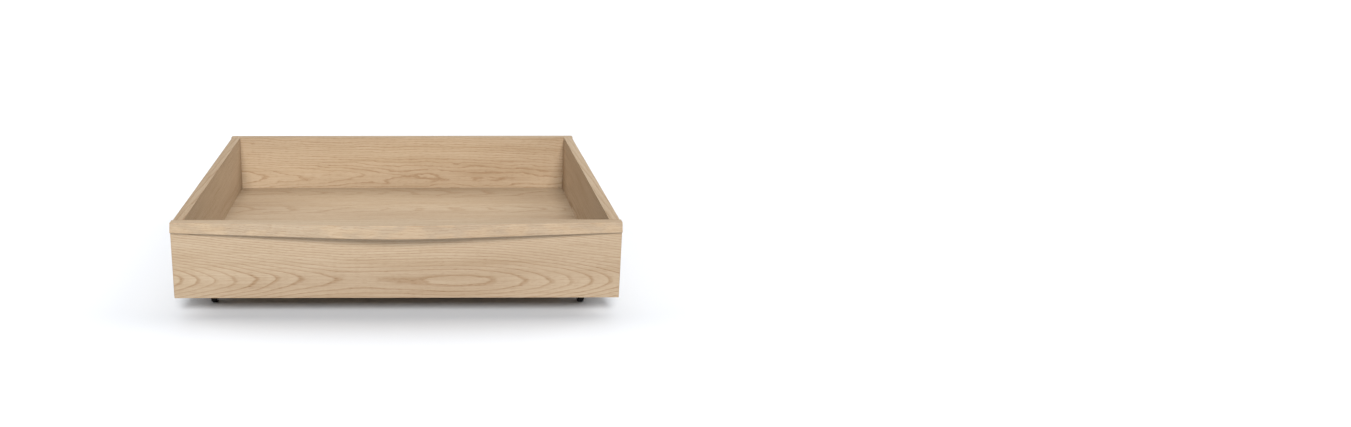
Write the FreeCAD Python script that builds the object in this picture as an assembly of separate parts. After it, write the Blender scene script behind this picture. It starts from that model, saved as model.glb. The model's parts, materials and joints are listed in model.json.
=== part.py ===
import FreeCAD, Part
import math
import os

Vec = FreeCAD.Vector

# Rolling storage drawer for the space under a platform bed.
# Millimetres. +Z up, the open front with the pull rail faces -Y, +X is the drawer's right-hand
# side seen from the front. The origin lies on the floor, under the middle of the drawer.

# ---------------------------------------------------------------- overall sizes
OVERALL_WIDTH = 787.4          # over the ends of the front and back panels
OVERALL_DEPTH = 711.2          # foremost point of the pull rail to the back face
OVERALL_HEIGHT = 177.8         # floor to the top edges
RIDE_HEIGHT = 38.6             # floor to the underside of the boards

# ---------------------------------------------------------------- boards
FRONT_THICKNESS = 18.6
BACK_THICKNESS = 18.3
SIDE_THICKNESS = 18.5
BOTTOM_THICKNESS = 19.0
SIDE_REVEAL = 2.0              # the side faces stand back from the panel ends by this much
BAND_THICKNESS = 1.0           # solid oak bands that close the edges of the boards
EASE = 0.5                     # every exposed arris of a board is eased by this radius

# ---------------------------------------------------------------- pull rail
RAIL_HEIGHT = 16.1             # where it sits on the front panel
RAIL_BOW = 19.6                # how far its top edge swings out at the middle
RAIL_CROWN_HALF = 95.0         # half width of the rounded middle of the bow
NOSE_FLARE = 0.28              # the nose leans outwards by this much for each mm down
UNDERCUT_FALL = 0.25           # the underside falls by this much for each mm outwards
RAIL_TOP_RADIUS = 2.0
RAIL_TIP_RADIUS = 1.2

# ---------------------------------------------------------------- joinery
DOWEL_RADIUS = 4.0
DOWEL_LENGTH = 34.0
DOWEL_CHAMFER = 0.8
DOWEL_GLUE_SPACE = 1.0         # room left at each end of a dowel hole
DOWEL_IN_PANEL = 11.0          # how much of a dowel sits in the face of a panel
DOWEL_IN_RAIL = 9.0            # how much of a dowel sits in the pull rail
SIDE_DOWEL_COUNT = 3
SIDE_DOWEL_PITCH = 32.0
BOTTOM_DOWEL_COUNT = 5
BOTTOM_DOWEL_MARGIN = 91.7     # from the bottom board's long edge to the first dowel
RAIL_DOWEL_COUNT = 6
RAIL_DOWEL_MARGIN = 73.7       # from the rail's end to its first dowel

# wood screws that pull the bottom board up against the side panels
SIDE_SCREW_COUNT = 5
SIDE_SCREW_MARGIN = 74.4       # from each end of a side panel to its first screw
SIDE_SCREW_LENGTH = 45.0
SIDE_SCREW_RADIUS = 2.1
SIDE_SCREW_HEAD_RADIUS = 4.1
SIDE_SCREW_HEAD_HEIGHT = 2.4
SIDE_SCREW_SINK = 0.4          # the head sits this far under the surface

# ---------------------------------------------------------------- casters
CASTER_INSET_SIDE = 56.1       # wheel centre to the panel end
CASTER_INSET_FRONT = 83.0      # wheel centre to the face of the front panel
CASTER_INSET_BACK = 87.0       # wheel centre to the back face
WHEEL_RADIUS = 12.7
TYRE_WIDTH = 11.4
TYRE_CROWN = 2.2               # radius of the rounded tyre shoulders
HUB_RADIUS = 9.7               # the tyre sits on this
HUB_WIDTH = 12.4
HUB_RIM_WIDTH = 10.6
RIM_GROOVE_OUTER = 7.8
RIM_GROOVE_INNER = 6.4
RIM_GROOVE_DEPTH = 3.0
HUB_BOSS_RADIUS = 5.0          # at its face
HUB_BOSS_FOOT = 5.5            # where the boss meets the rim face
AXLE_RADIUS = 2.5
AXLE_CLEARANCE = 0.05          # radial running clearance of the hub bore on the axle
WHEEL_SIDE_CLEARANCE = 0.4     # hub boss to the inside of each ear
SHEET = 1.5                    # steel sheet of the bracket
BEND_RADIUS = 1.5              # inside radius where an ear folds down from the plate
EAR_WIDTH_FOOT = 11.0          # across the rounded end of an ear
EAR_WIDTH_TOP = 18.0           # across an ear where it leaves the plate
EAR_RELIEF = 1.0               # the window runs this far past the ears
PLATE_LENGTH = 46.0            # along Y
PLATE_WIDTH = 38.0             # along X
PLATE_CORNER = 4.0
PLATE_HOLE_PITCH_Y = 34.0
PLATE_HOLE_PITCH_X = 27.0
RIVET_HEAD_RADIUS = 3.6
RIVET_HEAD_HEIGHT = 1.1
RIVET_CROWN_RADIUS = 2.6       # the flat ring on top of the head
RIVET_DIMPLE_RADIUS = 1.5
RIVET_DIMPLE_FLOOR_RADIUS = 0.8
RIVET_DIMPLE_DEPTH = 0.7

# pan-head wood screws that hold each bracket
PLATE_SCREW_RADIUS = 1.75
PLATE_SCREW_CLEARANCE = 0.35
PLATE_SCREW_LENGTH = 14.0
PLATE_SCREW_HEAD_RADIUS = 3.5
PLATE_SCREW_HEAD_HEIGHT = 2.3
PLATE_SCREW_CROWN_RADIUS = 1.9     # the flat middle of the pan head
RECESS_WIDTH = 0.9             # cross recess in the screw heads
RECESS_LENGTH = 3.6
RECESS_DEPTH = 1.2

# ---------------------------------------------------------------- values that follow
Z_UNDER = RIDE_HEIGHT
Z_TOP = OVERALL_HEIGHT
Z_FLOOR = Z_UNDER + BOTTOM_THICKNESS
Z_RAIL = Z_TOP - RAIL_HEIGHT

# the nose runs out along its flare until it meets the falling underside
NOSE_CORNER = 1.0 - UNDERCUT_FALL * NOSE_FLARE
RAIL_TIP_DROP = (RAIL_HEIGHT + UNDERCUT_FALL * RAIL_BOW) / NOSE_CORNER
# rounding the tip takes a little off how far the rail stands out
TIP_SETBACK = math.hypot(1.0, NOSE_FLARE) + NOSE_FLARE * math.hypot(1.0, UNDERCUT_FALL)
RAIL_TIP_LOSS = RAIL_TIP_RADIUS * (TIP_SETBACK / NOSE_CORNER - 1.0)
RAIL_PROJECTION = RAIL_BOW + NOSE_FLARE * RAIL_TIP_DROP - RAIL_TIP_LOSS
Y_BACK = OVERALL_DEPTH / 2.0
Y_FACE = -OVERALL_DEPTH / 2.0 + RAIL_PROJECTION
Y_FRONT_INNER = Y_FACE + FRONT_THICKNESS
Y_BACK_INNER = Y_BACK - BACK_THICKNESS
X_END = OVERALL_WIDTH / 2.0
X_SIDE = X_END - SIDE_REVEAL
X_SIDE_INNER = X_SIDE - SIDE_THICKNESS
X_SIDE_MIDDLE = (X_SIDE + X_SIDE_INNER) / 2.0
Z_BOTTOM_MIDDLE = Z_UNDER + BOTTOM_THICKNESS / 2.0

AXLE_Z = WHEEL_RADIUS
EAR_INNER = HUB_WIDTH / 2.0 + WHEEL_SIDE_CLEARANCE
EAR_OUTER = EAR_INNER + SHEET
CASTER_X = X_END - CASTER_INSET_SIDE
CASTER_Y_FRONT = Y_FACE + CASTER_INSET_FRONT
CASTER_Y_REAR = Y_BACK - CASTER_INSET_BACK
CASTERS = {
    "front_left": (-CASTER_X, CASTER_Y_FRONT),
    "front_right": (CASTER_X, CASTER_Y_FRONT),
    "rear_left": (-CASTER_X, CASTER_Y_REAR),
    "rear_right": (CASTER_X, CASTER_Y_REAR),
}

X_AXIS = Vec(1, 0, 0)
Y_AXIS = Vec(0, 1, 0)
Z_AXIS = Vec(0, 0, 1)


# ---------------------------------------------------------------- helpers
def block(x0, x1, y0, y1, z0, z1):
    """A square-edged block between two opposite corners."""
    return Part.makeBox(x1 - x0, y1 - y0, z1 - z0, Vec(x0, y0, z0))


def rod(radius, length, start, axis):
    """A round bar from a start point along an axis."""
    return Part.makeCylinder(radius, length, start, axis)


def centred_steps(count, pitch):
    """Evenly spaced positions, centred on zero."""
    first = -pitch * (count - 1) / 2.0
    return [first + pitch * step for step in range(count)]


def spread(count, start, end, margin):
    """Evenly spaced positions from start to end, the outer ones a margin inside."""
    pitch = (end - start - 2 * margin) / (count - 1)
    return [start + margin + pitch * step for step in range(count)]


def eased(solid, is_exposed):
    """Rounds the straight edges for which is_exposed(middle, direction) holds."""
    chosen = []
    for edge in solid.Edges:
        start = edge.valueAt(edge.FirstParameter)
        end = edge.valueAt(edge.LastParameter)
        middle = (start + end) * 0.5
        direction = end - start
        if direction.Length > 0 and is_exposed(middle, direction.normalize()):
            chosen.append(edge)
    return solid.makeFillet(EASE, chosen)


def near(value, target):
    """True when two coordinates are the same to a thousandth."""
    return abs(value - target) < 0.001


def turned(profile, centre, axis):
    """A solid of revolution: profile points are (along the axis, radius)."""
    ring = [Vec(along, radius, 0) for along, radius in profile]
    wire = Part.makePolygon(ring + [ring[0]])
    solid = Part.Face(wire).revolve(Vec(0, 0, 0), X_AXIS, 360)
    turn = FreeCAD.Rotation(X_AXIS, axis)
    solid.Placement = FreeCAD.Placement(centre, turn)
    return solid


def group(solids):
    """Several separate solids kept together in one file."""
    return Part.makeCompound(solids)


def save(name, shape):
    shape.exportStep("parts/" + name + ".step")
    print(name, len(shape.Solids), round(shape.Volume))


# ---------------------------------------------------------------- dowels and screws
def dowel(start, axis):
    """A chamfered beech dowel that begins at start and runs along axis."""
    c = DOWEL_CHAMFER
    r = DOWEL_RADIUS
    profile = [(0, 0), (0, r - c), (c, r), (DOWEL_LENGTH - c, r), (DOWEL_LENGTH, r - c), (DOWEL_LENGTH, 0)]
    return turned(profile, start, axis)


def dowel_hole(start, axis, depth):
    """The hole for the stretch of a dowel inside one board, with its glue space."""
    return rod(DOWEL_RADIUS, depth + DOWEL_GLUE_SPACE, start, axis)


def cross_recess(centre, axis):
    """The cutter for a cross recess, sunk along axis from a head's outer face."""
    long_half = RECESS_LENGTH / 2.0
    thin_half = RECESS_WIDTH / 2.0
    one = block(-long_half, long_half, -thin_half, thin_half, 0, RECESS_DEPTH)
    other = block(-thin_half, thin_half, -long_half, long_half, 0, RECESS_DEPTH)
    cutter = one.fuse(other)
    cutter.Placement = FreeCAD.Placement(centre, FreeCAD.Rotation(Z_AXIS, axis))
    return cutter


def countersunk_screw(head_point):
    """A flat-head wood screw, driven upwards from head_point."""
    head = SIDE_SCREW_HEAD_RADIUS
    core = SIDE_SCREW_RADIUS
    tip = SIDE_SCREW_LENGTH
    profile = [(0, 0), (0, head), (SIDE_SCREW_HEAD_HEIGHT, core), (tip - 2 * core, core), (tip, 0)]
    return turned(profile, head_point, Z_AXIS).cut(cross_recess(head_point, Z_AXIS))


def countersunk_hole(head_point, surface_z):
    """The hole that a flat-head screw fills, open down to the surface."""
    head = SIDE_SCREW_HEAD_RADIUS
    core = SIDE_SCREW_RADIUS
    tip = SIDE_SCREW_LENGTH
    below = surface_z - head_point.z
    profile = [(below, 0), (below, head), (0, head), (SIDE_SCREW_HEAD_HEIGHT, core), (tip, core), (tip, 0)]
    return turned(profile, head_point, Z_AXIS)


def pan_head_screw(seat_point):
    """A pan-head wood screw; seat_point is where its head meets the plate."""
    head = PLATE_SCREW_HEAD_RADIUS
    height = PLATE_SCREW_HEAD_HEIGHT
    core = PLATE_SCREW_RADIUS
    tip = PLATE_SCREW_LENGTH
    crown = PLATE_SCREW_CROWN_RADIUS
    shoulder = (head + crown) / 2.0 + (head - crown) / 4.0
    profile = [(-height, 0), (-height, crown), (-0.75 * height, shoulder), (-height / 3.0, head),
               (0, head), (0, core), (tip - 2 * core, core), (tip, 0)]
    top = Vec(seat_point.x, seat_point.y, seat_point.z - height)
    return turned(profile, seat_point, Z_AXIS).cut(cross_recess(top, Z_AXIS))


# ---------------------------------------------------------------- where the joinery sits
def side_dowel_heights():
    middle = (Z_FLOOR + Z_TOP) / 2.0
    return [middle + step for step in centred_steps(SIDE_DOWEL_COUNT, SIDE_DOWEL_PITCH)]


def end_joint_points(y_inner):
    """Where the dowels of both side panels cross the inner face of a front or back panel."""
    return [Vec(side * X_SIDE_MIDDLE, y_inner, z) for side in (-1, 1) for z in side_dowel_heights()]


def bottom_joint_points(y_inner):
    """Where the dowels of the bottom board cross the inner face of a front or back panel."""
    places = spread(BOTTOM_DOWEL_COUNT, -X_SIDE, X_SIDE, BOTTOM_DOWEL_MARGIN)
    return [Vec(x, y_inner, Z_BOTTOM_MIDDLE) for x in places]


def rail_joint_points():
    """Where the pull rail's dowels cross the top edge of the front panel."""
    y = Y_FACE + FRONT_THICKNESS / 2.0
    return [Vec(x, y, Z_RAIL) for x in spread(RAIL_DOWEL_COUNT, -X_END, X_END, RAIL_DOWEL_MARGIN)]


def side_screw_points(side):
    """Where the heads of the screws under one side panel sit."""
    z = Z_UNDER + SIDE_SCREW_SINK
    places = spread(SIDE_SCREW_COUNT, Y_FRONT_INNER, Y_BACK_INNER, SIDE_SCREW_MARGIN)
    return [Vec(side * X_SIDE_MIDDLE, y, z) for y in places]


def plate_screw_points(centre):
    """The four screw places of one bracket, on the face of the plate that the heads press on."""
    x, y = centre
    z = Z_UNDER - SHEET
    half_x = PLATE_HOLE_PITCH_X / 2.0
    half_y = PLATE_HOLE_PITCH_Y / 2.0
    return [Vec(x + sx * half_x, y + sy * half_y, z) for sx in (-1, 1) for sy in (-1, 1)]


def panel_holes(points, outward):
    """Dowel holes in the face of a panel; outward points into the panel."""
    return [dowel_hole(point, outward, DOWEL_IN_PANEL) for point in points]


def board_end_holes(points, inward):
    """Dowel holes in the end of a board; inward points into the board."""
    return [dowel_hole(point, inward, DOWEL_LENGTH - DOWEL_IN_PANEL) for point in points]


def joint_dowels(points, outward):
    """The dowels themselves, each reaching into a panel by its share."""
    inward = outward * -1.0
    return group([dowel(point + outward * DOWEL_IN_PANEL, inward) for point in points])


# ---------------------------------------------------------------- boards
def make_front_panel():
    """The core of the front; the pull rail sits on it and a band closes each end."""
    x = X_END - BAND_THICKNESS
    panel = block(-x, x, Y_FACE, Y_FRONT_INNER, Z_UNDER, Z_RAIL)
    cuts = panel_holes(end_joint_points(Y_FRONT_INNER), Y_AXIS * -1)
    cuts += panel_holes(bottom_joint_points(Y_FRONT_INNER), Y_AXIS * -1)
    down = DOWEL_LENGTH - DOWEL_IN_RAIL
    cuts += [dowel_hole(point, Z_AXIS * -1, down) for point in rail_joint_points()]
    panel = eased(panel, lambda m, d: near(m.z, Z_UNDER) and near(abs(d.x), 1))
    return panel.cut(cuts)


def make_back_panel():
    """The core of the back, closed by a band along the top and one at each end."""
    x = X_END - BAND_THICKNESS
    panel = block(-x, x, Y_BACK_INNER, Y_BACK, Z_UNDER, Z_TOP - BAND_THICKNESS)
    cuts = panel_holes(end_joint_points(Y_BACK_INNER), Y_AXIS)
    cuts += panel_holes(bottom_joint_points(Y_BACK_INNER), Y_AXIS)
    panel = eased(panel, lambda m, d: near(m.z, Z_UNDER) and near(abs(d.x), 1))
    return panel.cut(cuts)


def make_end_band(side, y0, y1, z1):
    """The upright band on one end of the front or back panel, eased on its outer face."""
    x0 = X_END - BAND_THICKNESS if side > 0 else -X_END
    band = block(x0, x0 + BAND_THICKNESS, y0, y1, Z_UNDER, z1)
    return eased(band, lambda m, d: near(abs(m.x), X_END) and near(abs(d.z), 1))


def make_back_top_band():
    """The long band on the back panel's top edge, between the two end bands."""
    x = X_END - BAND_THICKNESS
    band = block(-x, x, Y_BACK_INNER, Y_BACK, Z_TOP - BAND_THICKNESS, Z_TOP)
    return eased(band, lambda m, d: near(m.z, Z_TOP) and near(abs(d.x), 1))


def side_span(side):
    """The x range that a side panel fills."""
    return (X_SIDE_INNER, X_SIDE) if side > 0 else (-X_SIDE, -X_SIDE_INNER)


def make_side_panel(side):
    """The core of one side, standing on the bottom board between front and back."""
    x0, x1 = side_span(side)
    panel = block(x0, x1, Y_FRONT_INNER, Y_BACK_INNER, Z_FLOOR, Z_TOP - BAND_THICKNESS)
    own = [p for p in end_joint_points(Y_FRONT_INNER) if p.x * side > 0]
    cuts = board_end_holes(own, Y_AXIS)
    own = [p for p in end_joint_points(Y_BACK_INNER) if p.x * side > 0]
    cuts += board_end_holes(own, Y_AXIS * -1)
    cuts += [countersunk_hole(point, Z_UNDER) for point in side_screw_points(side)]
    return panel.cut(cuts)


def make_side_top_band(side):
    x0, x1 = side_span(side)
    band = block(x0, x1, Y_FRONT_INNER, Y_BACK_INNER, Z_TOP - BAND_THICKNESS, Z_TOP)
    return eased(band, lambda m, d: near(m.z, Z_TOP) and near(abs(d.y), 1))


def make_bottom_board():
    """The load-bearing bottom, drilled for the side screws, the dowels and the casters."""
    x = X_SIDE - BAND_THICKNESS
    board = block(-x, x, Y_FRONT_INNER, Y_BACK_INNER, Z_UNDER, Z_FLOOR)
    cuts = board_end_holes(bottom_joint_points(Y_FRONT_INNER), Y_AXIS)
    cuts += board_end_holes(bottom_joint_points(Y_BACK_INNER), Y_AXIS * -1)
    for side in (-1, 1):
        cuts += [countersunk_hole(point, Z_UNDER) for point in side_screw_points(side)]
    for centre in CASTERS.values():
        cuts += [rod(PLATE_SCREW_RADIUS, PLATE_SCREW_LENGTH, p, Z_AXIS) for p in plate_screw_points(centre)]
    return board.cut(cuts)


def make_bottom_edge_band(side):
    """The band on one long edge of the bottom board, in line with the side panel's face."""
    x0 = X_SIDE - BAND_THICKNESS if side > 0 else -X_SIDE
    band = block(x0, x0 + BAND_THICKNESS, Y_FRONT_INNER, Y_BACK_INNER, Z_UNDER, Z_FLOOR)
    return eased(band, lambda m, d: near(abs(m.x), X_SIDE) and near(m.z, Z_UNDER) and near(abs(d.y), 1))


# ---------------------------------------------------------------- pull rail
def bow_outline(y_rear):
    """The rail's plan outline: straight back and ends, straight flanks and a rounded crown."""
    slope = RAIL_BOW / (X_END - RAIL_CROWN_HALF / 2.0)
    shoulder = slope * (X_END - RAIL_CROWN_HALF)
    left_end = Vec(-X_END, Y_FACE, Z_TOP)
    left_shoulder = Vec(-RAIL_CROWN_HALF, Y_FACE - shoulder, Z_TOP)
    crown = Vec(0, Y_FACE - RAIL_BOW, Z_TOP)
    right_shoulder = Vec(RAIL_CROWN_HALF, Y_FACE - shoulder, Z_TOP)
    right_end = Vec(X_END, Y_FACE, Z_TOP)
    rear_left = Vec(-X_END, y_rear, Z_TOP)
    rear_right = Vec(X_END, y_rear, Z_TOP)
    edges = [
        Part.LineSegment(left_end, left_shoulder).toShape(),
        Part.Arc(left_shoulder, crown, right_shoulder).toShape(),
        Part.LineSegment(right_shoulder, right_end).toShape(),
        Part.LineSegment(right_end, rear_right).toShape(),
        Part.LineSegment(rear_right, rear_left).toShape(),
        Part.LineSegment(rear_left, left_end).toShape(),
    ]
    return Part.Face(Part.Wire(edges))


def make_pull_rail():
    """The bowed solid-oak rail: a leaning nose in front, undercut below for the fingers."""
    drop = 2.0 * RAIL_TIP_DROP
    lean = Vec(0, -NOSE_FLARE * drop, -drop)
    blank = bow_outline(Y_FRONT_INNER + NOSE_FLARE * drop).extrude(lean)
    blank = blank.common(block(-X_END, X_END, -OVERALL_DEPTH, Y_FRONT_INNER, 0, Z_TOP))
    seat = block(-OVERALL_WIDTH, OVERALL_WIDTH, Y_FACE, OVERALL_DEPTH, 0, Z_RAIL)
    reach = OVERALL_DEPTH / 4.0
    corner = Vec(-OVERALL_WIDTH, Y_FACE, Z_RAIL)
    outer = corner + Vec(0, -reach, -UNDERCUT_FALL * reach)
    below = Vec(0, 0, -reach)
    wedge = Part.Face(Part.makePolygon([corner, outer, outer + below, corner + below, corner]))
    undercut = wedge.extrude(Vec(2 * OVERALL_WIDTH, 0, 0))
    rail = blank.cut([seat, undercut])
    rail = rounded_rail(rail)
    holes = [dowel_hole(point, Z_AXIS, DOWEL_IN_RAIL) for point in rail_joint_points()]
    return rail.cut(holes)


def rounded_rail(rail):
    """Rounds the nose's top edge and its tip along the whole bow."""
    top = []
    tip = []
    for edge in rail.Edges:
        middle = edge.valueAt((edge.FirstParameter + edge.LastParameter) / 2.0)
        ends = edge.valueAt(edge.LastParameter) - edge.valueAt(edge.FirstParameter)
        lengthwise = abs(ends.x) > RAIL_CROWN_HALF / 2.0
        in_front = middle.y < Y_FACE - RAIL_TIP_RADIUS / 2.0
        if lengthwise and in_front and near(middle.z, Z_TOP):
            top.append(edge)
        elif lengthwise and in_front:
            tip.append(edge)
    rail = rail.makeFillet(RAIL_TOP_RADIUS, top)
    tip = [edge for edge in rail.Edges if any(same_middle(edge, old) for old in tip)]
    return rail.makeFillet(RAIL_TIP_RADIUS, tip)


def same_middle(edge, other):
    """True when two edges have the same middle."""
    one = edge.valueAt((edge.FirstParameter + edge.LastParameter) / 2.0)
    two = other.valueAt((other.FirstParameter + other.LastParameter) / 2.0)
    return (one - two).Length < 0.01


def make_rail_dowels():
    up = Z_AXIS * -1
    return group([dowel(point + Z_AXIS * DOWEL_IN_RAIL, up) for point in rail_joint_points()])


# ---------------------------------------------------------------- casters
def rounded_plate():
    """The mounting plate, centred on the origin, its top face at z = 0."""
    half_x = PLATE_WIDTH / 2.0
    half_y = PLATE_LENGTH / 2.0
    plate = block(-half_x, half_x, -half_y, half_y, -SHEET, 0)
    corners = [edge for edge in plate.Edges if near(edge.Length, SHEET)]
    return plate.makeFillet(PLATE_CORNER, corners)


def ear_outline(height):
    """An ear seen along X: it narrows from the plate to a round end about the axle."""
    half_top = EAR_WIDTH_TOP / 2.0
    radius = EAR_WIDTH_FOOT / 2.0
    # the side line runs from the ear's top corner until it touches the round end
    reach = math.hypot(half_top, height)
    heading = math.pi + math.atan2(height, half_top) + math.asin(radius / reach)
    run = math.sqrt(reach ** 2 - radius ** 2)
    touch_y = half_top + run * math.cos(heading)
    touch_z = height + run * math.sin(heading)
    right_touch = Vec(0, touch_y, touch_z)
    left_touch = Vec(0, -touch_y, touch_z)
    right_top = Vec(0, half_top, height)
    left_top = Vec(0, -half_top, height)
    foot = Vec(0, 0, -radius)
    edges = [
        Part.LineSegment(left_top, left_touch).toShape(),
        Part.Arc(left_touch, foot, right_touch).toShape(),
        Part.LineSegment(right_touch, right_top).toShape(),
        Part.LineSegment(right_top, left_top).toShape(),
    ]
    return Part.Face(Part.Wire(edges))


def folded_strip(side, top):
    """A strip of sheet seen along Y: flat under the board, then folded down beside the wheel."""
    bend_centre = Vec(EAR_OUTER + BEND_RADIUS, 0, top - SHEET - BEND_RADIUS)
    half_turn = math.sqrt(0.5)
    outer_middle = bend_centre + Vec(-half_turn, 0, half_turn) * (BEND_RADIUS + SHEET)
    inner_middle = bend_centre + Vec(-half_turn, 0, half_turn) * BEND_RADIUS
    outer_top = Vec(bend_centre.x, 0, top)
    outer_side = Vec(EAR_INNER, 0, bend_centre.z)
    inner_side = Vec(EAR_OUTER, 0, bend_centre.z)
    inner_top = Vec(bend_centre.x, 0, top - SHEET)
    foot = -EAR_WIDTH_FOOT
    edges = [
        Part.Arc(outer_top, outer_middle, outer_side).toShape(),
        Part.LineSegment(outer_side, Vec(EAR_INNER, 0, foot)).toShape(),
        Part.LineSegment(Vec(EAR_INNER, 0, foot), Vec(EAR_OUTER, 0, foot)).toShape(),
        Part.LineSegment(Vec(EAR_OUTER, 0, foot), inner_side).toShape(),
        Part.Arc(inner_side, inner_middle, inner_top).toShape(),
        Part.LineSegment(inner_top, outer_top).toShape(),
    ]
    strip = Part.Face(Part.Wire(edges)).extrude(Vec(0, EAR_WIDTH_TOP, 0))
    strip.translate(Vec(0, -EAR_WIDTH_TOP / 2.0, 0))
    return strip if side > 0 else strip.mirror(Vec(0, 0, 0), X_AXIS)


def make_bracket(centre):
    """Plate and two ears struck from one sheet; the ears leave a window over the wheel."""
    x, y = centre
    top = Z_UNDER - AXLE_Z
    window_x = EAR_OUTER + BEND_RADIUS
    window_y = EAR_WIDTH_TOP / 2.0
    relief = window_y + EAR_RELIEF
    plate = rounded_plate()
    plate.translate(Vec(0, 0, top))
    window = block(-window_x, window_x, -window_y, window_y, 0, 2 * top)
    between_reliefs = block(-EAR_OUTER, EAR_OUTER, -relief, relief, 0, 2 * top)
    bracket = plate.cut([window, between_reliefs])
    outline = ear_outline(top).extrude(Vec(4 * window_x, 0, 0))
    outline.translate(Vec(-2 * window_x, 0, 0))
    for side in (-1, 1):
        bracket = bracket.fuse(folded_strip(side, top).common(outline))
    bracket = bracket.removeSplitter()
    bracket = bracket.cut(rod(AXLE_RADIUS, 4 * EAR_OUTER, Vec(-2 * EAR_OUTER, 0, 0), X_AXIS))
    bracket.translate(Vec(x, y, AXLE_Z))
    hole = PLATE_SCREW_RADIUS + PLATE_SCREW_CLEARANCE
    return bracket.cut([rod(hole, SHEET, point, Z_AXIS) for point in plate_screw_points(centre)])


def make_axle(centre):
    """A riveted axle: the shank fills the ears' holes and a dimpled head sits on each ear."""
    x, y = centre
    out = EAR_OUTER + RIVET_HEAD_HEIGHT
    waist = EAR_OUTER + RIVET_HEAD_HEIGHT / 2.0
    floor = out - RIVET_DIMPLE_DEPTH
    half = [(floor, 0), (floor, RIVET_DIMPLE_FLOOR_RADIUS), (out, RIVET_DIMPLE_RADIUS),
            (out, RIVET_CROWN_RADIUS), (waist, RIVET_HEAD_RADIUS), (EAR_OUTER, RIVET_HEAD_RADIUS),
            (EAR_OUTER, AXLE_RADIUS)]
    mirrored = [(-along, radius) for along, radius in reversed(half)]
    return turned(half + mirrored, Vec(x, y, AXLE_Z), X_AXIS)


def make_wheel_hub(centre):
    """The wheel's moulded centre: bore, boss, grooved rim faces and a seat for the tyre."""
    x, y = centre
    half_boss = HUB_WIDTH / 2.0
    half_rim = HUB_RIM_WIDTH / 2.0
    bore = AXLE_RADIUS + AXLE_CLEARANCE
    floor = half_rim - RIM_GROOVE_DEPTH
    half = [(half_boss, bore), (half_boss, HUB_BOSS_RADIUS), (half_rim, HUB_BOSS_FOOT),
            (half_rim, RIM_GROOVE_INNER), (floor, RIM_GROOVE_INNER), (floor, RIM_GROOVE_OUTER),
            (half_rim, RIM_GROOVE_OUTER), (half_rim, HUB_RADIUS)]
    mirrored = [(-along, radius) for along, radius in reversed(half)]
    return turned(half + mirrored, Vec(x, y, AXLE_Z), X_AXIS)


def make_tyre(centre):
    """The rubber tyre: square on the hub, rounded where it meets the floor."""
    x, y = centre
    half = TYRE_WIDTH / 2.0
    tyre = rod(WHEEL_RADIUS, TYRE_WIDTH, Vec(x - half, y, AXLE_Z), X_AXIS)
    rims = [edge for edge in tyre.Edges if edge.Closed and edge.Length > 2 * math.pi * HUB_RADIUS]
    tyre = tyre.makeFillet(TYRE_CROWN, rims)
    return tyre.cut(rod(HUB_RADIUS, TYRE_WIDTH, Vec(x - half, y, AXLE_Z), X_AXIS))


def save_caster(name, centre):
    save("caster_bracket_" + name, make_bracket(centre))
    save("caster_axle_" + name, make_axle(centre))
    save("wheel_hub_" + name, make_wheel_hub(centre))
    save("wheel_tyre_" + name, make_tyre(centre))
    save("caster_screws_" + name, group([pan_head_screw(point) for point in plate_screw_points(centre)]))


# ---------------------------------------------------------------- the whole drawer
os.makedirs("parts", exist_ok=True)

save("front_panel", make_front_panel())
save("pull_rail", make_pull_rail())
save("pull_rail_dowels", make_rail_dowels())
save("back_panel", make_back_panel())
save("back_top_band", make_back_top_band())
save("bottom_board", make_bottom_board())
save("front_joint_dowels", joint_dowels(end_joint_points(Y_FRONT_INNER), Y_AXIS * -1))
save("back_joint_dowels", joint_dowels(end_joint_points(Y_BACK_INNER), Y_AXIS))
save("bottom_front_dowels", joint_dowels(bottom_joint_points(Y_FRONT_INNER), Y_AXIS * -1))
save("bottom_back_dowels", joint_dowels(bottom_joint_points(Y_BACK_INNER), Y_AXIS))

for side_name, side in (("left", -1), ("right", 1)):
    save("side_panel_" + side_name, make_side_panel(side))
    save("side_top_band_" + side_name, make_side_top_band(side))
    save("bottom_edge_band_" + side_name, make_bottom_edge_band(side))
    save("front_end_band_" + side_name, make_end_band(side, Y_FACE, Y_FRONT_INNER, Z_RAIL))
    save("back_end_band_" + side_name, make_end_band(side, Y_BACK_INNER, Y_BACK, Z_TOP))
    screws = [countersunk_screw(point) for point in side_screw_points(side)]
    save("side_screws_" + side_name, group(screws))

for caster_name, caster_centre in CASTERS.items():
    save_caster(caster_name, caster_centre)
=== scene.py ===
# %% [markdown]
# # A rolling storage drawer, piece by piece
# The drawer is a low oak box that rolls under a bed: five boards, thin edge bands, a bowed pull rail
# along the front and four small casters. The engineering model fixes every size and place. This
# lesson loads it, rebuilds the pieces that the eye meets, and gives each one its finish.

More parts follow.
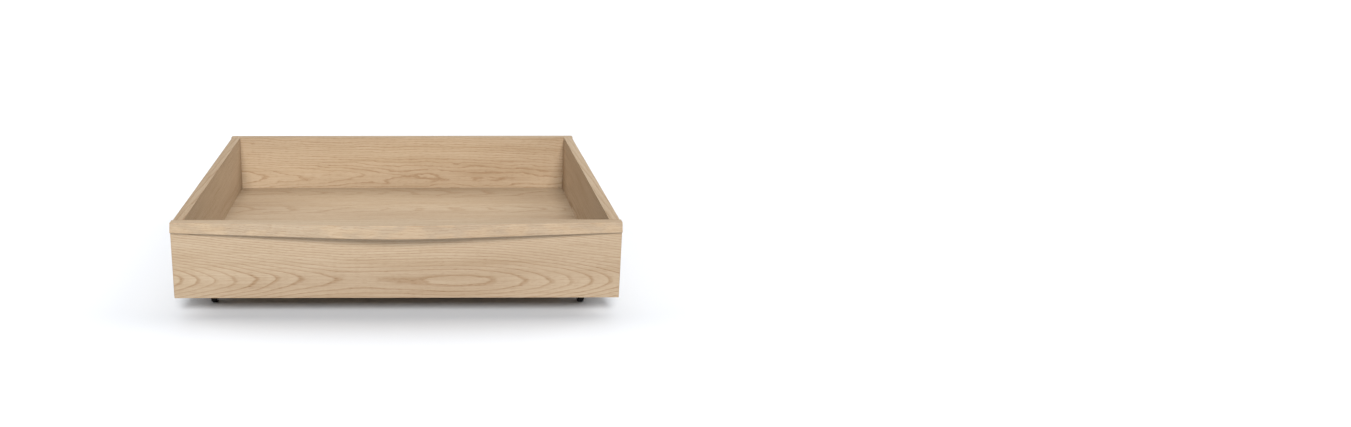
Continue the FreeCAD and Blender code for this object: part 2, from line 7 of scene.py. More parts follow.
# %% Load the fixed frame
import json
import math
import bpy
import bmesh
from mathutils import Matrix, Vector

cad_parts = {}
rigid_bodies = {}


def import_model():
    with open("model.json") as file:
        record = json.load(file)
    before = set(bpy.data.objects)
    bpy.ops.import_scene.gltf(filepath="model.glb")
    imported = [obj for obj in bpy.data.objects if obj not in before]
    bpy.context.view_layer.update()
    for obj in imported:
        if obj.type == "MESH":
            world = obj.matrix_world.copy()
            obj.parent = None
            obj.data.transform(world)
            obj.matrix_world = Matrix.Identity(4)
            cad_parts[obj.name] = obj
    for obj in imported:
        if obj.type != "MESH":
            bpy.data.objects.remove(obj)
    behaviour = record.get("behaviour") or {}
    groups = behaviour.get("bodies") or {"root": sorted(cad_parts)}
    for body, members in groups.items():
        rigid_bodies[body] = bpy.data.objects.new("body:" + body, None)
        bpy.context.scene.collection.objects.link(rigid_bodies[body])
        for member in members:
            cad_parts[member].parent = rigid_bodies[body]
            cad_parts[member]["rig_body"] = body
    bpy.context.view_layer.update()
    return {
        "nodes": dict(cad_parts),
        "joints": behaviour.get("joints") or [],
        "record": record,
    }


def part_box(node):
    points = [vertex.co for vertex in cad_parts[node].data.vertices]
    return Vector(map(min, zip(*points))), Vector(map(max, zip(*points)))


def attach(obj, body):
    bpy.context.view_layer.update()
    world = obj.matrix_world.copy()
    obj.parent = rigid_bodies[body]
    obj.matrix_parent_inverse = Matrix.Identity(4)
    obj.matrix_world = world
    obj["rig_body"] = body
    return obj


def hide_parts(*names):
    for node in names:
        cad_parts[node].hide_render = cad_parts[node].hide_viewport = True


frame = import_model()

# %% [markdown]
# ## Where things are
# Lengths are in metres, and MM turns millimetres into them. A node's box tells where a board lies, so
# no board is placed by eye. The few values below are read once and reused: the front panel's two
# faces, the rail's seat and top, and the axles.

# %% Landmarks of the drawer
MM = 0.001
FRONT_FACE_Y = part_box("front_panel")[0].y
FRONT_INNER_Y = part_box("front_panel")[1].y
RAIL_SEAT_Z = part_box("front_panel")[1].z
TOP_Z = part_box("pull_rail")[1].z
AXLES = {joint["child"].replace("wheel_", ""): Vector(joint["pos_m"]) for joint in frame["joints"]}
print("front face", round(FRONT_FACE_Y, 4), "top", round(TOP_Z, 4), "axles", sorted(AXLES))

# %% [markdown]
# ## Tools for building shapes
# A shape starts in a bmesh, Blender's editable mesh. When it is done it becomes an object that sits at
# the origin, rides on a rigid body of the drawer and stands in for one node of the frame.

# %% Turning a bmesh into a finished piece
SMOOTH_BELOW = math.radians(32)


def dress(node, finish):
    """Gives one of the frame's own nodes its finish."""
    materials = frame["nodes"][node].data.materials
    materials.clear()
    materials.append(finish)


def finish_piece(bm, node, finish, smooth=True):
    """Makes the object, hides the frame's own node and ties the piece to the node's body."""
    mesh = bpy.data.meshes.new("look_" + node)
    bmesh.ops.recalc_face_normals(bm, faces=bm.faces[:])
    bm.to_mesh(mesh)
    bm.free()
    mesh.materials.append(finish)
    dress(node, finish)
    mesh.polygons.foreach_set("use_smooth", [smooth] * len(mesh.polygons))
    if smooth:
        mesh.set_sharp_from_angle(angle=SMOOTH_BELOW)
    piece = bpy.data.objects.new("look_" + node, mesh)
    bpy.context.scene.collection.objects.link(piece)
    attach(piece, frame["nodes"][node]["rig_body"])
    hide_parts(node)
    return piece


SLOT_OF = {part["node"]: part["material_slot"] for part in frame["record"]["subparts"]}
print("slots", sorted(set(SLOT_OF.values())))

# %% [markdown]
# ## Tools for building finishes
# A finish is a chain of small shader nodes. Six short helpers keep the chains readable: two wire a
# node up, one does arithmetic on values that change over the surface, and three make clouds, bend a
# value along a curve and tint a colour.

# %% Shader helpers
def plug(tree, socket, value):
    """Wires a socket to another node, or sets it when the value is the same all over."""
    if isinstance(value, bpy.types.NodeSocket):
        tree.links.new(value, socket)
    else:
        socket.default_value = value


def add_node(tree, kind, inputs, **settings):
    """Adds a shader node with its settings and inputs."""
    node = tree.nodes.new("ShaderNode" + kind)
    for key, value in settings.items():
        setattr(node, key, value)
    for key, value in inputs.items():
        plug(tree, node.inputs[key], value)
    return node


def calc(tree, operation, first, second=0.0):
    """One step of arithmetic."""
    return add_node(tree, "Math", {0: first, 1: second}, operation=operation).outputs[0]


def stretched_noise(tree, point, stretch, detail=2.0):
    """Cloudy noise from 0 to 1, its clouds drawn out by a different amount along each axis."""
    scaled = add_node(tree, "VectorMath", {0: point, 1: stretch}, operation="MULTIPLY").outputs[0]
    return add_node(tree, "TexNoise", {"Vector": scaled, "Scale": 1.0, "Detail": detail}).outputs["Fac"]


def curve_through(tree, value, stops):
    """Bends a value from 0 to 1 along a few given stops."""
    ramp = add_node(tree, "ValToRGB", {"Fac": value})
    ramp.color_ramp.interpolation = "EASE"
    marks = ramp.color_ramp.elements
    while len(marks) < len(stops):
        marks.new(0.5)
    for mark, (place, level) in zip(marks, stops):
        mark.position = place
        mark.color = (level, level, level, 1.0)
    return ramp.outputs["Color"]


def tint(tree, colour, amount, shade):
    """Multiplies a colour by a shade, as strongly as amount says."""
    inputs = {"Factor": amount, 6: colour, 7: (*shade, 1.0)}
    node = add_node(tree, "Mix", inputs, data_type="RGBA", blend_type="MULTIPLY")
    return node.outputs[2]


print("shader helpers ready")

# %% [markdown]
# ## Oak
# A flat-sawn oak board is a slice through nested growth cones. That gives two choices: paint arches by
# hand, or imagine the log and cut it. The log way is used here, because faces, edges and ends then
# agree with one another. Each board gets its own log: where its heart lies, which way it runs, how fast
# it tapers and where it swells. Distance from the heart, counted in yearly rings, draws the lines; a
# swelling turns straight lines into arches and eyes. Pores, fibres and slow drifts of tone lie on top.

# %% The oak recipe
PALE_OAK = (0.425, 0.332, 0.231)
DEEP_OAK = (0.372, 0.281, 0.190)
RING_SHADE = (0.74, 0.64, 0.54)        # what a ring line does to the colour
STREAK_SHADE = (0.86, 0.81, 0.74)
FIBRE_SHADE = (0.84, 0.79, 0.73)
PORE_SHADE = (0.70, 0.60, 0.50)
END_SHADE = (0.68, 0.62, 0.55)
WORN_SHADE = (1.12, 1.10, 1.07)
LOG_TURN = {"x": (0, 0, 0), "y": (0, 0, math.pi / 2), "z": (0, -math.pi / 2, 0)}
GRAIN_AXIS = {"x": (1, 0, 0), "y": (0, 1, 0), "z": (0, 0, 1)}
WANDER = (((3, 15, 15), 2.4), ((12, 55, 55), 0.9), ((35, 110, 110), 0.35), ((70, 320, 320), 0.18))
RING_PROFILE = [(0.0, 1.0), (0.08, 0.8), (0.24, 0.14), (0.88, 0.0), (1.0, 1.0)]  # dark line, pale year
STREAK_STRENGTH = 0.55
FIBRE_STRENGTH = 0.6
LACQUER_ROUGHNESS = 0.42


def veneer_leaves(tree, log_point, width):
    """Cuts a face into leaves laid side by side, each one taken from its own place in the log."""
    parts = add_node(tree, "SeparateXYZ", {0: log_point}).outputs
    counted = calc(tree, "DIVIDE", parts[1], width)
    leaf = calc(tree, "FLOOR", counted)
    from_middle = calc(tree, "SUBTRACT", calc(tree, "FRACT", counted), 0.5)
    across = calc(tree, "MULTIPLY", from_middle, width)
    chance = add_node(tree, "TexWhiteNoise", {"W": leaf}, noise_dimensions="1D").outputs["Color"]
    shares = add_node(tree, "SeparateXYZ", {0: chance}).outputs
    along = calc(tree, "ADD", parts[0], shares[0])
    across = calc(tree, "ADD", across, calc(tree, "MULTIPLY", calc(tree, "SUBTRACT", shares[1], 0.5), 0.06))
    depth = calc(tree, "ADD", parts[2], calc(tree, "MULTIPLY", shares[2], 0.03))
    return add_node(tree, "CombineXYZ", {0: along, 1: across, 2: depth}).outputs[0]


def ring_count(tree, log_point, ring, taper, swell, swell_at, swell_length, wander):
    """How many rings lie between the heart and a point of the log."""
    along = add_node(tree, "SeparateXYZ", {0: log_point}).outputs[0]
    across = add_node(tree, "VectorMath", {0: log_point, 1: (0, 1, 1)}, operation="MULTIPLY").outputs[0]
    radius = add_node(tree, "VectorMath", {0: across}, operation="LENGTH").outputs["Value"]
    rings = calc(tree, "DIVIDE", radius, ring)
    rings = calc(tree, "ADD", rings, calc(tree, "MULTIPLY", along, taper))
    reach = calc(tree, "DIVIDE", calc(tree, "SUBTRACT", along, swell_at), swell_length)
    rings = calc(tree, "SUBTRACT", rings, calc(tree, "MULTIPLY", calc(tree, "TANH", reach), swell))
    for stretch, size in WANDER:
        noise = calc(tree, "SUBTRACT", stretched_noise(tree, log_point, stretch), 0.5)
        rings = calc(tree, "ADD", rings, calc(tree, "MULTIPLY", noise, size * wander))
    return rings


def oak(name, along, heart, ring=2.5 * MM, taper=24.0, swell=0.0, swell_at=0.0, swell_length=0.12,
        wander=1.0, tone=1.0, line=1.0, leaf=None):
    """Clear matt lacquer over oak, from a log along one axis with its heart through a given point."""
    finish = bpy.data.materials.new(name)
    finish.use_nodes = True
    tree = finish.node_tree
    shader = tree.nodes["Principled BSDF"]
    place = add_node(tree, "TexCoord", {})
    log_point = add_node(
        tree, "Mapping",
        {"Vector": place.outputs["Object"], "Location": heart, "Rotation": LOG_TURN[along]},
        vector_type="TEXTURE").outputs[0]
    if leaf:
        log_point = veneer_leaves(tree, log_point, leaf)
    rings = ring_count(tree, log_point, ring, taper, swell, swell_at, swell_length, wander)
    ring_line = curve_through(tree, calc(tree, "FRACT", rings), RING_PROFILE)
    year = add_node(tree, "TexWhiteNoise", {"W": calc(tree, "FLOOR", rings)}, noise_dimensions="1D")
    ring_line = calc(tree, "MULTIPLY", ring_line,
                     calc(tree, "ADD", calc(tree, "MULTIPLY", year.outputs["Value"], 0.6), 0.4))

    broad = stretched_noise(tree, log_point, (1.6, 9, 9), 1.0)
    drift = curve_through(tree, broad, [(0.3, 0.0), (0.7, 1.0)])
    # The tone factor scales the oak colour. On the dowels it is their own colour; on some boards it is
    # painted light.
    pale, deep = [(*(tone * value for value in colour), 1.0) for colour in (PALE_OAK, DEEP_OAK)]
    colour = add_node(tree, "Mix", {"Factor": drift, 6: pale, 7: deep}, data_type="RGBA").outputs[2]
    long_clouds = stretched_noise(tree, log_point, (2.5, 48, 48))
    streak = curve_through(tree, long_clouds, [(0.45, 0.0), (0.7, 1.0)])
    colour = tint(tree, colour, calc(tree, "MULTIPLY", streak, STREAK_STRENGTH), STREAK_SHADE)
    colour = tint(tree, colour, calc(tree, "MULTIPLY", ring_line, line), RING_SHADE)
    fibre = stretched_noise(tree, log_point, (9, 420, 420), 3.0)
    fibre_dark = curve_through(tree, fibre, [(0.38, 0.0), (0.72, 1.0)])
    colour = tint(tree, colour, calc(tree, "MULTIPLY", fibre_dark, FIBRE_STRENGTH), FIBRE_SHADE)
    pores = stretched_noise(tree, log_point, (80, 2200, 2200), 1.0)
    pores = curve_through(tree, pores, [(0.56, 0.0), (0.64, 1.0)])
    pores = calc(tree, "MULTIPLY", pores, calc(tree, "ADD", calc(tree, "MULTIPLY", ring_line, 0.6), 0.4))
    colour = tint(tree, colour, pores, PORE_SHADE)

    facing = add_node(tree, "VectorMath", {0: place.outputs["Normal"], 1: GRAIN_AXIS[along]},
                      operation="DOT_PRODUCT").outputs["Value"]
    end_grain = curve_through(tree, calc(tree, "ABSOLUTE", facing), [(0.55, 0.0), (0.9, 1.0)])
    colour = tint(tree, colour, end_grain, END_SHADE)
    arris = add_node(tree, "Attribute", {}, attribute_name="arris").outputs["Fac"]
    rubbed = curve_through(tree, stretched_noise(tree, log_point, (25, 60, 60)), [(0.4, 0.0), (0.6, 1.0)])
    worn = calc(tree, "MULTIPLY", arris, rubbed)
    plug(tree, shader.inputs["Base Color"], tint(tree, colour, worn, WORN_SHADE))

    rough = calc(tree, "ADD", calc(tree, "MULTIPLY", fibre, 0.14), LACQUER_ROUGHNESS)
    rough = calc(tree, "ADD", rough, calc(tree, "MULTIPLY", pores, 0.12))
    plug(tree, shader.inputs["Roughness"], calc(tree, "ADD", rough, calc(tree, "MULTIPLY", worn, 0.1)))
    height = calc(tree, "SUBTRACT", calc(tree, "MULTIPLY", fibre, 0.25), calc(tree, "MULTIPLY", pores, 0.6))
    height = calc(tree, "SUBTRACT", height, calc(tree, "MULTIPLY", ring_line, 0.2))
    bump = add_node(tree, "Bump", {"Height": height, "Strength": 0.4, "Distance": 0.12 * MM})
    plug(tree, shader.inputs["Normal"], bump.outputs[0])
    shader.inputs["Specular IOR Level"].default_value = 0.25
    shader.inputs["Coat Weight"].default_value = 0.05
    shader.inputs["Coat Roughness"].default_value = 0.4
    return finish


print("oak recipe ready")

# %% [markdown]
# ## Boards and bands
# A board is a block whose outer arrises a maker eases with sandpaper, and whose joints stay crisp. The
# block starts as a cube scaled to its node's box. Only the edges between two exposed faces are
# bevelled, so tight joints stay tight. Faces that aren't square to an axis are marked, and the oak
# shows wear there: that is the bevel's faces, the walls of holes and the rail's leaning nose. A board
# with screw holes that show starts from a copy of its node instead, so the holes are in it.

# %% The board builder
SIDES = {"-x": (0, 0), "+x": (0, 1), "-y": (1, 0), "+y": (1, 1), "-z": (2, 0), "+z": (2, 1)}
ARRIS = 0.7 * MM


def copy_of_node(node):
    """A bmesh copy of one node of the frame, with its flat faces in one piece again."""
    bm = bmesh.new()
    bm.from_mesh(frame["nodes"][node].data)
    bmesh.ops.remove_doubles(bm, verts=bm.verts[:], dist=1e-6)
    bmesh.ops.dissolve_limit(bm, angle_limit=math.radians(1.0), verts=bm.verts[:], edges=bm.edges[:])
    bm.normal_update()
    return bm


def block(low, high):
    """A bmesh cube between two corners."""
    bm = bmesh.new()
    bmesh.ops.create_cube(bm, size=1.0)
    bmesh.ops.scale(bm, vec=high - low, verts=bm.verts[:])
    bmesh.ops.translate(bm, vec=(low + high) / 2, verts=bm.verts[:])
    return bm


def exposed_edges(bm, low, high, exposed):
    """The edges that lie in two exposed sides of the block."""
    found = []
    for edge in bm.edges:
        middle = (edge.verts[0].co + edge.verts[1].co) / 2
        touching = 0
        for side in exposed:
            axis, end = SIDES[side]
            touching += abs(middle[axis] - (low, high)[end][axis]) < 1e-6
        if touching == 2:
            found.append(edge)
    return found


def mark_arrises(bm):
    """Writes 0 on the faces that are square to an axis and 1 on all others."""
    layer = bm.faces.layers.float.new("arris")
    for face in bm.faces:
        face[layer] = 0.0 if max(abs(value) for value in face.normal) > 0.999 else 1.0


def board(node, exposed, finish, bored=False):
    """A board that fills its node's box, with the exposed arrises eased."""
    low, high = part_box(node)
    bm = copy_of_node(node) if bored else block(low, high)
    ease = min(ARRIS, 0.45 * min(high - low))
    bmesh.ops.bevel(bm, geom=exposed_edges(bm, low, high, exposed.split()), offset=ease, segments=3,
                    affect="EDGES", profile=0.5, material=-1, clamp_overlap=True)
    bm.normal_update()
    mark_arrises(bm)
    return finish_piece(bm, node, finish, smooth=False)


print("board builder ready")

# %% [markdown]
# The front panel is the drawer's face. Its log is cut so that the heart runs low behind the face: fine
# straight lines fill the upper part, and a band of arches with one long eye runs along the lower part.

# %% Front panel
front_oak = oak("oak_front", "x", (0.024, FRONT_FACE_Y + 0.0354, 0.072), ring=4.0 * MM, taper=33,
                swell=6.8, swell_length=0.17, wander=0.55, tone=1.12)
board("front_panel", "-y +y -z", front_oak)

# %% [markdown]
# The back panel comes from a wilder log, the side panels from calmer ones. The bottom is wider than any
# log, so its face is laid up from several leaves of veneer, and each leaf shows its own arches.

# %% Back, side and bottom boards
# The tones of these boards are painted light: the back and side panels are painted lighter and the bottom
# darker than the front, to match how the light falls inside the box.
back_oak = oak("oak_back", "x", (0.1, 0.366, 0.082), ring=5.0 * MM, taper=10, swell=2.0, swell_length=0.2,
               wander=1.7, tone=1.3, line=0.9)
board("back_panel", "-y +y -z", back_oak)
right_oak = oak("oak_right", "y", (0.44, -0.1, 0.060), ring=3.6 * MM, taper=5, swell=1.2,
                swell_length=0.25, wander=0.9, tone=1.2, line=1.3)
board("side_panel_right", "-x +x -y +y", right_oak)
left_oak = oak("oak_left", "y", (-0.43, 0.05, 0.26), ring=3.2 * MM, taper=5, wander=1.0, tone=1.2, line=1.2)
board("side_panel_left", "-x +x -y +y", left_oak)
bottom_oak = oak("oak_bottom", "x", (0.0, 0.06, -0.02), ring=3.5 * MM, taper=12, wander=1.2, tone=0.98,
                 line=0.8, leaf=0.16)
board("bottom_board", "-y +y -z", bottom_oak, bored=True)
print("boards done")

# %% [markdown]
# Thin solid bands close the raw edges of the veneered boards. The ones on the ends of front and back
# stand upright, so their grain does too.

# %% Edge bands
for side, outer in (("left", "-x"), ("right", "+x")):
    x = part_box("bottom_edge_band_" + side)[0].x
    upright = oak("oak_upright_" + side, "z", (x * 1.02, 0.0, 0.1), taper=6, wander=0.6)
    lengthwise = oak("oak_band_" + side, "y", (x * 0.9, 0.0, 0.30), taper=6, wander=0.6)
    board("front_end_band_" + side, f"{outer} -y +y -z", upright)
    board("back_end_band_" + side, f"{outer} -y +y -z +z", upright)
    board("side_top_band_" + side, "-x +x +z", lengthwise)
    board("bottom_edge_band_" + side, f"{outer} -z", lengthwise)
board("back_top_band", "-y +y +z", oak("oak_back_band", "x", (0, 0.37, 0.30), taper=6, wander=0.6))
print("bands done")

# %% [markdown]
# ## The pull rail
# The rail is a bowed oak moulding. It could be swept along a curve, but its section changes: the nose
# leans out and the underside falls as the bow grows. So a straight moulding is made first. Its corners
# are rounded, it is cut across at many stations, and then the front is swung out station by station.

# %% Build the pull rail
CAD_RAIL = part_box("pull_rail")
RAIL_BOW = 19.6 * MM
CROWN_HALF = 95 * MM
NOSE_FLARE = 0.28
UNDERCUT_FALL = 0.25
NOSE_ROUND = 2.0 * MM
TIP_ROUND = 1.2 * MM
STATIONS = 96


def bow_at(x):
    """How far the rail's top edge swings out: straight flanks, then a rounded crown."""
    half = CAD_RAIL[1].x
    slope = RAIL_BOW / (half - CROWN_HALF / 2)
    away = abs(x)
    if away >= CROWN_HALF:
        return slope * (half - away)
    return RAIL_BOW - slope * away * away / (2 * CROWN_HALF)


rail_height = TOP_Z - RAIL_SEAT_Z
corner_gain = 1 / (1 - NOSE_FLARE * UNDERCUT_FALL)
tip_drop = rail_height * corner_gain

bm = bmesh.new()
left_x = CAD_RAIL[0].x
section = [
    (FRONT_INNER_Y, TOP_Z),
    (FRONT_FACE_Y, TOP_Z),
    (FRONT_FACE_Y - NOSE_FLARE * tip_drop, TOP_Z - tip_drop),
    (FRONT_FACE_Y, RAIL_SEAT_Z),
    (FRONT_INNER_Y, RAIL_SEAT_Z),
]
corners = [bm.verts.new((left_x, y, z)) for y, z in section]
end_face = bm.faces.new(corners)
swept = bmesh.ops.extrude_face_region(bm, geom=[end_face])
far_end = [item for item in swept["geom"] if isinstance(item, bmesh.types.BMVert)]
bmesh.ops.translate(bm, vec=(CAD_RAIL[1].x - left_x, 0, 0), verts=far_end)


def long_edges_at(y, z):
    """The edges that run the rail's whole length through one corner of its section."""
    found = []
    for edge in bm.edges:
        a, b = edge.verts[0].co, edge.verts[1].co
        if abs(a.x - b.x) > 0.1 and math.hypot(a.y - y, a.z - z) < 1e-5:
            found.append(edge)
    return found


for corner, radius, steps in ((1, NOSE_ROUND, 6), (2, TIP_ROUND, 5), (0, ARRIS, 3)):
    bmesh.ops.bevel(bm, geom=long_edges_at(*section[corner]), offset=radius, offset_type="WIDTH",
                    segments=steps, affect="EDGES", profile=0.5, material=-1)
long_edges = [e for e in bm.edges if abs(e.verts[0].co.x - e.verts[1].co.x) > 0.1]
bmesh.ops.subdivide_edges(bm, edges=long_edges, cuts=STATIONS - 1, use_grid_fill=True)

for vert in bm.verts:
    bow = bow_at(vert.co.x)
    near_tip = math.hypot(vert.co.y - section[2][0], vert.co.z - section[2][1]) < 2 * TIP_ROUND
    if near_tip:
        vert.co.y -= bow * corner_gain
        vert.co.z -= bow * UNDERCUT_FALL * corner_gain
    elif vert.co.y < FRONT_FACE_Y + 2 * NOSE_ROUND and vert.co.z > TOP_Z - 2 * NOSE_ROUND:
        vert.co.y -= bow
bm.normal_update()
mark_arrises(bm)
rail_oak = oak("oak_rail", "x", (0.0, FRONT_FACE_Y + 0.03, 0.115), taper=6, wander=0.7, tone=0.99,
               line=0.5)
pull_rail = finish_piece(bm, "pull_rail", rail_oak)
pull_rail.modifiers.new("weights", "WEIGHTED_NORMAL").keep_sharp = True
print("rail faces", len(pull_rail.data.polygons))

# %% [markdown]
# ## Metal, plastic and rubber
# The casters are zinc-plated sheet, a riveted steel axle, a grey moulded hub and a black rubber tyre.
# Metal is bright because it mirrors the room, so colour alone shows little of it. Cloudy plating and a
# few scuffs change its roughness too, and faint rolling lines are a bump. Plastic and rubber get a
# fine grain and a little dust.

# %% Caster finishes
def plated_steel(name, shade, roughness):
    """Zinc-plated steel with cloudy plating and fine rolling lines."""
    finish = bpy.data.materials.new(name)
    finish.use_nodes = True
    tree = finish.node_tree
    shader = tree.nodes["Principled BSDF"]
    point = add_node(tree, "TexCoord", {}).outputs["Object"]
    cloud = stretched_noise(tree, point, (180, 180, 180), 3.0)
    lines = stretched_noise(tree, point, (250, 4000, 250), 1.0)
    scuff = curve_through(tree, stretched_noise(tree, point, (600, 90, 500)), [(0.62, 0.0), (0.72, 1.0)])
    bright = (*(1.08 * value for value in shade), 1.0)
    dull = (*(0.82 * value for value in shade), 1.0)
    colour = add_node(tree, "Mix", {"Factor": cloud, 6: dull, 7: bright}, data_type="RGBA").outputs[2]
    plug(tree, shader.inputs["Base Color"], tint(tree, colour, scuff, (0.8, 0.8, 0.82)))
    rough = calc(tree, "ADD", calc(tree, "MULTIPLY", cloud, 0.2), roughness - 0.1)
    plug(tree, shader.inputs["Roughness"], calc(tree, "ADD", rough, calc(tree, "MULTIPLY", scuff, 0.15)))
    bump = add_node(tree, "Bump", {"Height": lines, "Strength": 0.25, "Distance": 0.03 * MM})
    plug(tree, shader.inputs["Normal"], bump.outputs[0])
    shader.inputs["Metallic"].default_value = 1.0
    return finish


def moulded(name, shade, roughness, grain, dust, shine):
    """Moulded plastic or rubber: fine surface grain and patches of dust."""
    finish = bpy.data.materials.new(name)
    finish.use_nodes = True
    tree = finish.node_tree
    shader = tree.nodes["Principled BSDF"]
    point = add_node(tree, "TexCoord", {}).outputs["Object"]
    fine = stretched_noise(tree, point, (grain, grain, grain), 2.0)
    cloud = stretched_noise(tree, point, (220, 220, 220), 3.0)
    patch = curve_through(tree, cloud, [(0.45, 0.0), (0.7, 1.0)])
    dusty = (*(min(1.0, value + 0.09) for value in shade), 1.0)
    inputs = {"Factor": calc(tree, "MULTIPLY", patch, dust), 6: (*shade, 1.0), 7: dusty}
    colour = add_node(tree, "Mix", inputs, data_type="RGBA").outputs[2]
    plug(tree, shader.inputs["Base Color"], colour)
    rough = calc(tree, "ADD", calc(tree, "MULTIPLY", fine, 0.16), roughness - 0.08)
    plug(tree, shader.inputs["Roughness"], calc(tree, "ADD", rough, calc(tree, "MULTIPLY", patch, 0.08)))
    bump = add_node(tree, "Bump", {"Height": fine, "Strength": 0.3, "Distance": 0.05 * MM})
    plug(tree, shader.inputs["Normal"], bump.outputs[0])
    shader.inputs["Specular IOR Level"].default_value = shine
    return finish


sheet_steel = plated_steel("zinc_sheet", (0.66, 0.67, 0.69), 0.36)
rivet_steel = plated_steel("axle_steel", (0.34, 0.34, 0.35), 0.33)
screw_steel = plated_steel("screw_steel", (0.70, 0.69, 0.66), 0.34)
hub_plastic = moulded("hub_plastic", (0.52, 0.53, 0.54), roughness=0.42, grain=1500, dust=0.3, shine=0.5)
tyre_rubber = moulded("tyre_rubber", (0.010, 0.010, 0.011), roughness=0.7, grain=2200, dust=0.1, shine=0.2)
print("caster finishes ready")

# %% [markdown]
# ## Turned parts
# Tyre, hub and rivet are all turned shapes. Each starts as a half outline of a few corners. The corners
# are rounded while the outline is still a line, and then the outline is spun about the axle.

# %% The lathe
TURN_STEPS = 72


def turned_piece(node, centre, outline, finish):
    """Spins an outline of (along the axle, radius, corner rounding) about the axle."""
    bm = bmesh.new()
    verts = [bm.verts.new((centre.x + along, centre.y, centre.z + radius)) for along, radius, _ in outline]
    open_ended = outline[0][1] == 0.0
    for first, second in zip(verts, verts[1:] + ([] if open_ended else verts[:1])):
        bm.edges.new((first, second))
    for vert, (_, _, rounding) in zip(verts, outline):
        if rounding:
            bmesh.ops.bevel(bm, geom=[vert], offset=rounding, segments=4, affect="VERTICES", profile=0.5,
                            material=-1)
    bmesh.ops.spin(bm, geom=bm.verts[:] + bm.edges[:], cent=centre, axis=(1, 0, 0), angle=math.tau,
                   steps=TURN_STEPS, use_merge=True)
    bmesh.ops.remove_doubles(bm, verts=bm.verts[:], dist=1e-7)
    return finish_piece(bm, node, finish)


def mirrored(half):
    """Completes an outline from its right-hand half, given in millimetres."""
    half = [(along * MM, radius * MM, rounding * MM) for along, radius, rounding in half]
    return half + [(-along, radius, rounding) for along, radius, rounding in reversed(half)]


print("lathe ready")

# %% [markdown]
# The tyre is square where it grips the hub and rounded where it rolls, with the fine raised line that
# its mould leaves round the middle. The hub has a groove moulded into each face and a boss that keeps
# the ears off it. The axle is a rivet: its heads are rounded and dimpled by the riveting tool.

# %% Turn the tyres, hubs and axles
MOULD_LINE, TREAD, SEAT = 12.7, 12.6, 9.7                # radii in millimetres
GROOVE_OUTER, GROOVE_INNER, BOSS_FOOT, BOSS = 7.8, 6.4, 5.5, 5.0
RIVET_HEAD, BORE, SHANK = 3.6, 2.55, 2.5
RIM_FACE, GROOVE_FLOOR, BOSS_FACE = 5.3, 2.3, 6.2        # distances along the axle from the middle
TYRE = mirrored([(0.18, TREAD, 0), (5.7, TREAD, 2.1), (5.7, SEAT, 0.2)])
TYRE[0:0] = [(0.10 * MM, MOULD_LINE * MM, 0)]
TYRE.append((-0.10 * MM, MOULD_LINE * MM, 0))
HUB = mirrored([(BOSS_FACE, BORE, 0.15), (BOSS_FACE, BOSS, 0.3), (RIM_FACE, BOSS_FOOT, 0.3),
                (RIM_FACE, GROOVE_INNER, 0.2), (GROOVE_FLOOR, GROOVE_INNER, 0.3),
                (GROOVE_FLOOR, GROOVE_OUTER, 0.3), (RIM_FACE, GROOVE_OUTER, 0.2), (RIM_FACE, SEAT, 0)])
RIVET = mirrored([(8.5, 0, 0), (8.5, 0.8, 0.2), (9.2, 1.5, 0.15), (9.2, 2.6, 0.5),
                  (8.65, RIVET_HEAD, 0.3), (8.1, RIVET_HEAD, 0.1), (8.1, SHANK, 0)])
for name, centre in AXLES.items():
    turned_piece("wheel_tyre_" + name, centre, TYRE, tyre_rubber)
    turned_piece("wheel_hub_" + name, centre, HUB, hub_plastic)
    turned_piece("caster_axle_" + name, centre, RIVET, rivet_steel)
print("turned pieces", 3 * len(AXLES))

# %% [markdown]
# ## Pressed brackets
# A bracket is a strip folded down from a plate, with holes and rounded ears. Its shape is already right
# in the frame, but its edges are razor sharp. So a copy is taken, its flat faces are merged back into
# single faces, and the sharp edges are eased by a quarter of a millimetre, as blanking leaves them.

# %% Ease the brackets
for name in AXLES:
    bm = copy_of_node("caster_bracket_" + name)
    sharp = [edge for edge in bm.edges if edge.calc_face_angle(0.0) > math.radians(40)]
    bmesh.ops.bevel(bm, geom=sharp, offset=0.25 * MM, segments=2, affect="EDGES", profile=0.5, material=-1,
                    clamp_overlap=True)
    finish_piece(bm, "caster_bracket_" + name, sheet_steel)
print("brackets", len(AXLES))

# %% [markdown]
# ## Screws and dowels
# The screws show only from below and the dowels hardly at all, and their shapes in the frame are fine
# as they are. They stay the frame's own nodes and only get a finish: plated steel and plain beech.

# %% Finish what stays
beech = oak("beech_dowels", "y", (0.3, 0.0, 0.4), taper=6, wander=0.6, tone=1.08, line=0.25)
for node, slot in SLOT_OF.items():
    if slot == "screw_steel":
        dress(node, screw_steel)
    if slot == "beech_dowel":
        dress(node, beech)
print("screw nodes", sum(slot == "screw_steel" for slot in SLOT_OF.values()),
      "dowel nodes", sum(slot == "beech_dowel" for slot in SLOT_OF.values()))

# %% [markdown]
# ## The floor
# The drawer stands on a plain pale floor. It could be a thick slab, but only its top is ever seen, so
# one wide flat sheet is enough. A matt and slightly cool grey keeps the shadow under the drawer neutral
# and throws less light back up under the lip of the rail than white would.

# %% Floor
FLOOR_REACH = 30.0
COOL_GREY = (0.70, 0.72, 0.75, 1.0)
bm = bmesh.new()
bmesh.ops.create_grid(bm, x_segments=1, y_segments=1, size=FLOOR_REACH)
floor_mesh = bpy.data.meshes.new("studio_floor")
bm.to_mesh(floor_mesh)
bm.free()
floor = bpy.data.objects.new("studio_floor", floor_mesh)
bpy.context.scene.collection.objects.link(floor)
floor_paint = bpy.data.materials.new("studio_floor")
floor_paint.use_nodes = True
paint = floor_paint.node_tree.nodes["Principled BSDF"]
paint.inputs["Base Color"].default_value = COOL_GREY
paint.inputs["Roughness"].default_value = 0.9
floor_mesh.materials.append(floor_paint)
print("floor at", floor.location.z)

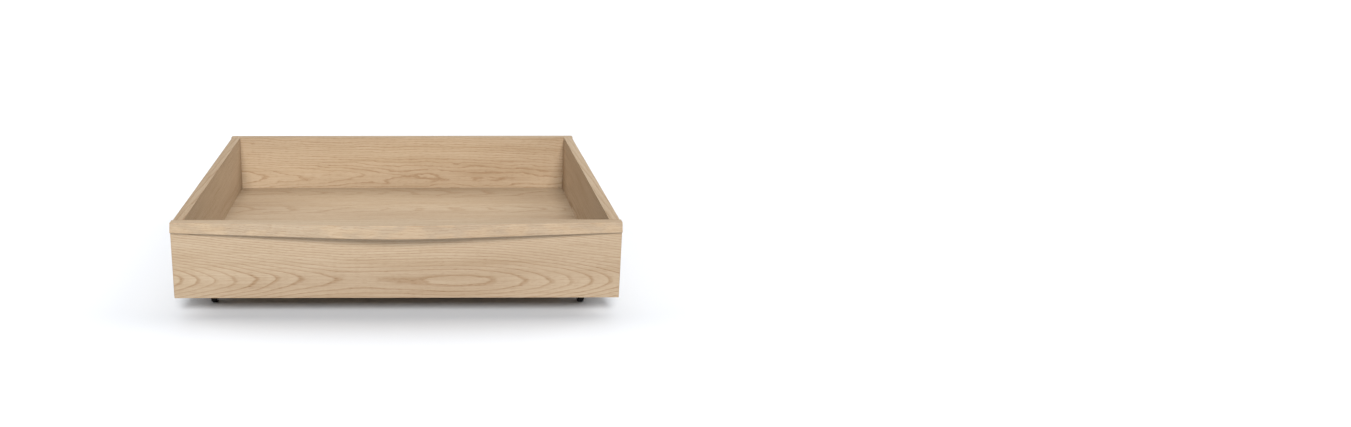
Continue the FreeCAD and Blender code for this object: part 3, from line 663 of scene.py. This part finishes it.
# %% [markdown]
# ## The light
# Four broad soft lamps could be boxes of light near the drawer, but a near lamp fades from one end of
# the front to the other. Lamps that are far away light every part alike. The strongest one shines over
# the viewer's shoulder and draws the shadow under the lip. One from behind lights the inside and the
# top edges. A weak one on each side opens up the side panels. The sky adds only a little light, or it
# would wash the shadows out, but it looks white where it shows past the far edge of the floor.

# %% Light
SKY = 0.10
world = bpy.data.worlds.new("soft_sky")
world.use_nodes = True
bpy.context.scene.world = world
sky = world.node_tree
sky.nodes["Background"].inputs["Color"].default_value = (1.0, 1.0, 1.0, 1.0)
sky.nodes["Background"].inputs["Strength"].default_value = SKY
backdrop = sky.nodes.new("ShaderNodeBackground")
backdrop.inputs["Color"].default_value = (1.0, 1.0, 1.0, 1.0)
ray = sky.nodes.new("ShaderNodeLightPath")
either = sky.nodes.new("ShaderNodeMixShader")
sky.links.new(ray.outputs["Is Camera Ray"], either.inputs[0])
sky.links.new(sky.nodes["Background"].outputs[0], either.inputs[1])
sky.links.new(backdrop.outputs[0], either.inputs[2])
sky.links.new(either.outputs[0], sky.nodes["World Output"].inputs["Surface"])


def far_light(name, strength, width, up, right):
    """A lamp so far off that it is equally strong everywhere; width, up and right are in degrees."""
    lamp = bpy.data.lights.new(name, "SUN")
    lamp.energy = strength
    lamp.angle = math.radians(width)
    light = bpy.data.objects.new(name, lamp)
    light.rotation_euler = (math.radians(90 - up), 0.0, math.radians(right))
    bpy.context.scene.collection.objects.link(light)


far_light("front_light", 3.4, width=20, up=35, right=2)
far_light("top_light", 1.45, width=70, up=64, right=180)
far_light("right_light", 1.3, width=40, up=36, right=105)
far_light("left_light", 1.0, width=40, up=36, right=-105)
print("sky", SKY)

# %% [markdown]
# ## The camera
# Someone who sits on the floor nearly two metres in front of the drawer looks down on it a little, and
# its sides converge only gently. The camera is there, with a moderate lens. It isn't tilted sideways
# and turns hardly at all.

# %% Camera
LENS = 29.94                # millimetres, on a sensor 36 mm wide
LOOK_DOWN = 16.67           # degrees
TURN = -0.29                # degrees, a minus turns it to the right
camera = bpy.data.objects.new("camera", bpy.data.cameras.new("camera"))
camera.data.sensor_width = 36.0
camera.data.lens = LENS
camera.data.shift_x = 0.1848
camera.location = (0.042, -2.195, 0.753)
camera.rotation_euler = (math.radians(90 - LOOK_DOWN), 0.0, math.radians(TURN))
bpy.context.scene.collection.objects.link(camera)
bpy.context.scene.camera = camera
bpy.context.scene.view_settings.view_transform = "Standard"
print("camera at", tuple(camera.location))
